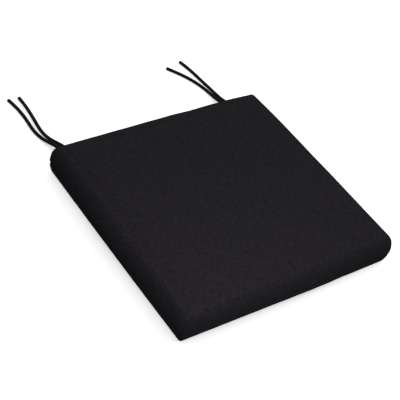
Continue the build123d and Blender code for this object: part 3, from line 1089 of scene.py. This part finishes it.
class SEATPAD_OT_zip(bpy.types.Operator):
    """Make the zip's tapes and coils, and lacquer its slider, pull and stops"""
    bl_idname = "seatpad.zip"
    bl_label = "Zip"

    def execute(self, context):
        colours = context.scene.seat_pad_colours
        tape_cloth = tape_material(colours.zip_tape)
        nylon = coil_material(colours.zip_coil)
        lacquer = lacquer_material(colours.lacquer)
        for half, side in (("upper", 1), ("lower", -1)):
            self.tape(half, side, tape_cloth)
            line = coil_line(side, COIL_PITCH, COIL_HIGH.x - COIL_WIRE / 2)
            wire = tube(line, oval(COIL_WIRE, COIL_WIRE, 6, 2.0), up=(1.0, 0.0, 0.0))
            piece = add_piece(f"pad_zip_coil_{half}", [wire], nylon, "pad", "zip_coil")
            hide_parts(f"zip_coil_{half}")
        for node in ("zip_slider", "zip_pull", "zip_end_stops"):
            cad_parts[node].data.materials.clear()
            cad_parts[node].data.materials.append(lacquer)
        return {"FINISHED"}

    def tape(self, half, side, material):
        """A zip tape: a thin flat strip with rounded edges."""
        outer_z = TAPE_HIGH.z - SEAM_Z
        x = np.linspace(TAPE_LOW.x, TAPE_HIGH.x, 151)
        y = (TAPE_LOW.y + TAPE_HIGH.y) / 2
        z = SEAM_Z + side * (outer_z + TAPE_SLIT_HALF) / 2
        line = np.stack(np.broadcast_arrays(x, y, z), -1)
        section = oval(outer_z - TAPE_SLIT_HALF, TAPE_HIGH.y - TAPE_LOW.y, 28, 8.0)
        strip = tube(line, section, up=(0.0, 1.0, 0.0))
        piece = add_piece(f"pad_zip_tape_{half}", [strip], material, "pad", "zip_tape")
        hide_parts(f"zip_tape_{half}")


# ---------------------------------------------------------------- ties

def route_line(name, exit_x, lay, lying):
    """The smooth line of a tie's route: a quadratic NURBS whose control points are the route's."""
    points = [(exit_x, HALF_Y, SEAM_Z), (exit_x, HALF_Y + TIE_EXIT_RUN, SEAM_Z)]
    points += [(x, HALF_Y + behind, lying + lift) for x, behind, lift in lay]
    curve = bpy.data.curves.new(name, "CURVE")
    curve.dimensions = "3D"
    spline = curve.splines.new("NURBS")
    spline.points.add(len(points) - 1)
    for point, place in zip(spline.points, points):
        point.co = (*place, 1.0)
    spline.order_u = 3
    spline.use_endpoint_u = True
    spline.resolution_u = 16
    holder = bpy.data.objects.new(name, curve)
    mesh = bpy.data.meshes.new_from_object(holder)
    line = np.array([v.co for v in mesh.vertices])
    bpy.data.meshes.remove(mesh)
    bpy.data.objects.remove(holder)
    bpy.data.curves.remove(curve)
    return line


def oval(width, thickness, sides=24, power=2.6):
    """A superellipse: flatter than an ellipse on its broad faces."""
    angle = np.linspace(0, 2 * math.pi, sides, endpoint=False)
    cos, sin = np.cos(angle), np.sin(angle)
    return np.stack([
        np.sign(cos) * np.abs(cos) ** (2 / power) * width / 2,
        np.sign(sin) * np.abs(sin) ** (2 / power) * thickness / 2,
    ], -1)


class SEATPAD_OT_ties(bpy.types.Operator):
    """Lay the four fabric ties"""
    bl_idname = "seatpad.ties"
    bl_label = "Ties"

    def execute(self, context):
        shape = context.scene.seat_pad_ties
        colours = context.scene.seat_pad_colours
        fabric = woven_material("tie_fabric", colours.tie, pitch=0.6 * MM, depth=0.15 * MM,
                                contrast=1.0)
        thread = thread_material("tie_thread", colours.tie)
        for seed, (node, (exit_x, lay)) in enumerate(TIE_ROUTES.items()):
            line = route_line(node, exit_x, lay, shape.thickness / 2)
            along = np.concatenate([[0.0], np.cumsum(np.linalg.norm(np.diff(line, axis=0), axis=1))])
            places = np.concatenate([line[:1] - np.array([[0.0, TIE_IN_SEAM, 0.0]]), line])
            run = np.concatenate([[-TIE_IN_SEAM], along])
            strip = tube(places, self.section(shape, run, seed))
            piece = add_piece("pad_" + node, [strip], fabric, "pad", "tie_fabric")
            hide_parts(node)
            sewing = self.sewing(node, line, along, shape, thread)
        return {"FINISHED"}

    def section(self, shape, run, seed):
        """The tie's section along its run: pinched flat in the seam, then a folded strip with its open
        edge as a groove on one side, slightly uneven."""
        grown = np.clip((run + 2 * MM) / (14 * MM), 0, 1)
        grown = grown * grown * (3 - 2 * grown)
        flat = 0.42 + 0.58 * grown
        wander = slow_noise(run, 0.0, 26 * MM, 40 + seed)
        outline = oval(1.0, 1.0)
        fold = 1 - 0.16 * bump_at(np.arange(len(outline)), 0.0, 1.2)
        section = outline * fold[:, None]
        widths = shape.width * (1 + 0.04 * wander)
        heights = shape.thickness * flat * (1 - 0.05 * wander)
        return section[None] * np.stack([widths, heights], -1)[:, None]

    def sewing(self, node, line, along, shape, thread):
        """The row of thread along a tie's upper face, near its open edge."""
        pitch, length, width = TIE_STITCH
        starts_at = np.arange(9 * MM, along[-1] - 6 * MM, pitch)
        direction = np.gradient(line, axis=0)
        direction /= np.linalg.norm(direction, axis=1, keepdims=True)
        across = np.cross(direction, (0.0, 0.0, 1.0))
        across /= np.linalg.norm(across, axis=1, keepdims=True)
        lift = np.cross(across, direction)
        row = line + across * shape.width * 0.26 + lift * shape.thickness * 0.455

        def at(values, distance):
            return np.stack([np.interp(distance, along, values[:, k]) for k in range(3)], -1)

        starts, ends = at(row, starts_at), at(row, starts_at + length)
        outwards = at(lift + across * 0.35, starts_at)
        outwards /= np.linalg.norm(outwards, axis=1, keepdims=True)
        made = stitches(starts, ends, outwards, width)
        return add_piece(f"pad_{node}_sewing", made, thread, "pad", "tie_fabric")


# ---------------------------------------------------------------- stage

def add_sky(tree, strength):
    """Even soft light from above the horizon, fading to none below it."""
    sky = Graph(tree)
    rise = sky.part(sky.node("ShaderNodeTexCoord", {}, output="Generated"), 2)
    glow = sky.node("ShaderNodeValToRGB", {"Fac": rise},
                    stops=[(0.0, colour((0, 0, 0))), (0.02, colour((1, 1, 1)))])
    background = tree.nodes["Background"]
    sky.feed(background.inputs["Color"], glow)
    sky.feed(background.inputs["Strength"], strength)


def area_light(name, place, aim, size, power):
    """A square soft light at a place, aimed at a point."""
    light = bpy.data.lights.new(name, "AREA")
    light.size = size
    light.energy = power
    lamp = bpy.data.objects.new(name, light)
    lamp.location = place
    lamp.rotation_euler = (Vector(aim) - Vector(place)).to_track_quat("-Z", "Y").to_euler()
    bpy.context.scene.collection.objects.link(lamp)
    return lamp


class SEATPAD_OT_stage(bpy.types.Operator):
    """Set the pale floor, the soft light and the camera"""
    bl_idname = "seatpad.stage"
    bl_label = "Stage"

    def execute(self, context):
        view = context.scene.seat_pad_view
        scene = context.scene
        scene.view_settings.view_transform = "Standard"
        scene.world = bpy.data.worlds.new("studio")
        scene.world.use_nodes = True
        add_sky(scene.world.node_tree, view.sky)
        floor_points = np.array([(-1, -1, 0), (1, -1, 0), (1, 1, 0), (-1, 1, 0)], float) * FLOOR_HALF
        mesh = build_mesh("floor", floor_points, np.array([[0, 1, 2, 3]]))
        pale = Finish("pale_floor", Specular_IOR_Level=0.0, Base_Color=colour((0.95, 0.95, 0.95)),
                      Roughness=1.0, Emission_Color=colour((1.0, 1.0, 1.0)),
                      Emission_Strength=view.floor_glow)
        mesh.materials.append(pale.material)
        floor = bpy.data.objects.new("floor", mesh)
        floor.visible_diffuse = False
        floor.visible_glossy = False
        scene.collection.objects.link(floor)
        softbox = area_light("softbox", place=(-0.27, -0.46, 0.56), aim=(-0.06, -0.18, 0.0),
                             size=0.45, power=view.softbox)
        spared = bpy.data.collections.new("spared_by_softbox")
        spared.objects.link(floor)
        softbox.light_linking.receiver_collection = spared
        spared.collection_objects[0].light_linking.link_state = "EXCLUDE"
        area_light("side_light", place=(1.3, -0.3, 1.1), aim=(0, 0, 0), size=0.9,
                   power=view.side_light)
        add_camera(scene, view)
        return {"FINISHED"}


def add_camera(scene, view):
    """A camera on a sphere round its target, turned about its own line of sight by the roll."""
    turn, rise, roll = view.azimuth, view.elevation, view.roll
    back = Vector((math.sin(turn) * math.cos(rise), -math.cos(turn) * math.cos(rise), math.sin(rise)))
    right = Vector((math.cos(turn), math.sin(turn), 0.0))
    up = back.cross(right)
    rolled_right = right * math.cos(roll) + up * math.sin(roll)
    rolled_up = up * math.cos(roll) - right * math.sin(roll)
    lens = bpy.data.cameras.new("camera")
    lens.lens = view.lens
    lens.sensor_width = 36.0
    lens.clip_end = 50.0
    camera = bpy.data.objects.new("camera", lens)
    place = Vector(view.target) + back * view.distance
    camera.matrix_world = Matrix.Translation(place) @ Matrix(
        (rolled_right, rolled_up, back)).transposed().to_4x4()
    scene.collection.objects.link(camera)
    scene.camera = camera


# ---------------------------------------------------------------- add-on

class SEATPAD_PT_panel(bpy.types.Panel):
    """The pad's operators, one under another"""
    bl_label = "Seat Pad"
    bl_idname = "SEATPAD_PT_panel"
    bl_space_type = "VIEW_3D"
    bl_region_type = "UI"
    bl_category = "Seat Pad"

    def draw(self, context):
        for operator in OPERATORS:
            self.layout.operator(operator.bl_idname)


OPERATORS = (SEATPAD_OT_stage, SEATPAD_OT_ties, SEATPAD_OT_cover, SEATPAD_OT_filling, SEATPAD_OT_zip)
GROUPS = {
    "seat_pad_shape": PadShape,
    "seat_pad_colours": PadColours,
    "seat_pad_ties": TieShape,
    "seat_pad_view": StageView,
}


def register():
    for group in GROUPS.values():
        bpy.utils.register_class(group)
    for name, group in GROUPS.items():
        setattr(bpy.types.Scene, name, bpy.props.PointerProperty(type=group))
    for operator in OPERATORS:
        bpy.utils.register_class(operator)
    bpy.utils.register_class(SEATPAD_PT_panel)


def unregister():
    bpy.utils.unregister_class(SEATPAD_PT_panel)
    for operator in reversed(OPERATORS):
        bpy.utils.unregister_class(operator)
    for name, group in GROUPS.items():
        delattr(bpy.types.Scene, name)
        bpy.utils.unregister_class(group)


def main():
    register()
    for operator in OPERATORS:
        group, name = operator.bl_idname.split(".")
        getattr(getattr(bpy.ops, group), name)()


if __name__ == "__main__":
    main()
